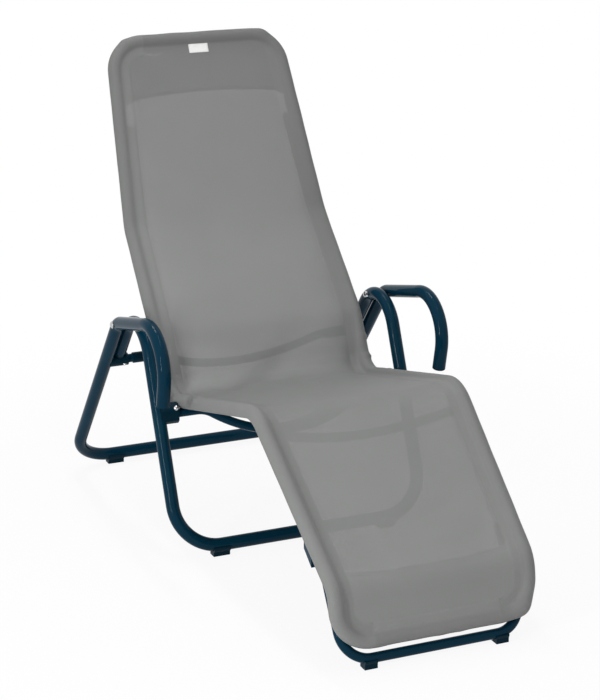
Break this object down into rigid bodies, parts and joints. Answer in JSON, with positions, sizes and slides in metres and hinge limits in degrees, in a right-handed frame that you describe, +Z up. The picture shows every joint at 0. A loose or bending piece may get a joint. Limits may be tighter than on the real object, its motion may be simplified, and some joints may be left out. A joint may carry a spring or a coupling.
{
  "type": "tilting patio lounger",
  "caption": "Patio lounger with a grey mesh sling on a bent tube shell that tilts between two crossed leg frames, with armrests and a fold-away foot frame.",
  "frame": {"origin": "on the floor under the middle of the bounding box", "axes": "+X across, +Y from the foot end to the head end, +Z up"},
  "size_m": [0.7078, 1.337, 1.0625],
  "materials": {
    "frame_paint": "glossy dark petrol blue enamel",
    "pad_plastic": "satin, same blue as the frame",
    "black_plastic": "satin black moulding",
    "bright_steel": "bright zinc or nickel plating",
    "plain_steel": "plain steel, hidden",
    "sling_cloth": "matt grey plastic-coated mesh cloth",
    "label_cloth": "plain white woven label, blank"
  },
  "bodies": {
    "front_frame": {"front_frame": "frame_paint", "fold_bolts": "bright_steel", "fold_nuts": "bright_steel", "fold_spacer_left": "black_plastic", "fold_spacer_right": "black_plastic", "hook_plug_left": "black_plastic", "hook_plug_right": "black_plastic", "front_pad_left": "pad_plastic", "front_pad_right": "pad_plastic", "pivot_block_left": "frame_paint", "pivot_block_right": "frame_paint", "pivot_bush_left": "black_plastic", "pivot_bush_right": "black_plastic", "block_bolts": "bright_steel"},
    "rear_frame": {"rear_frame": "frame_paint", "rear_crossbar": "frame_paint", "crossbar_sleeve_left": "black_plastic", "crossbar_sleeve_right": "black_plastic", "sleeve_screws": "black_plastic", "tilt_buffer_left": "black_plastic", "tilt_buffer_right": "black_plastic", "armrest_cap_left": "black_plastic", "armrest_cap_right": "black_plastic", "rear_pad_left": "pad_plastic", "rear_pad_right": "pad_plastic"},
    "shell": {"back_frame": "frame_paint", "leg_frame": "frame_paint", "frame_joiner_left": "plain_steel", "frame_joiner_right": "plain_steel", "seat_crossbar": "frame_paint", "knee_crossbar": "frame_paint", "foot_bracket_left": "black_plastic", "foot_bracket_right": "black_plastic", "hinge_pins": "bright_steel", "sling": "sling_cloth", "label": "label_cloth"},
    "foot_frame": {"foot_frame": "frame_paint", "foot_arm_plug_left": "black_plastic", "foot_arm_plug_right": "black_plastic", "foot_pad_left": "pad_plastic", "foot_pad_right": "pad_plastic"}
  },
  "joints": [
    {"name": "shell_tilt", "type": "hinge", "parent": "front_frame", "child": "shell", "pos_m": [0, 0.1065, 0.30488], "axis": [-1, 0, 0], "range_deg": [0, 22.5]},
    {"name": "frame_fold", "type": "hinge", "parent": "front_frame", "child": "rear_frame", "pos_m": [0, 0.27817, 0.47324], "axis": [-1, 0, 0], "range_deg": [0, 28]},
    {"name": "foot_fold", "type": "hinge", "parent": "shell", "child": "foot_frame", "pos_m": [0, -0.54366, 0.19907], "axis": [1, 0, 0], "range_deg": [0, 155]}
  ]
}
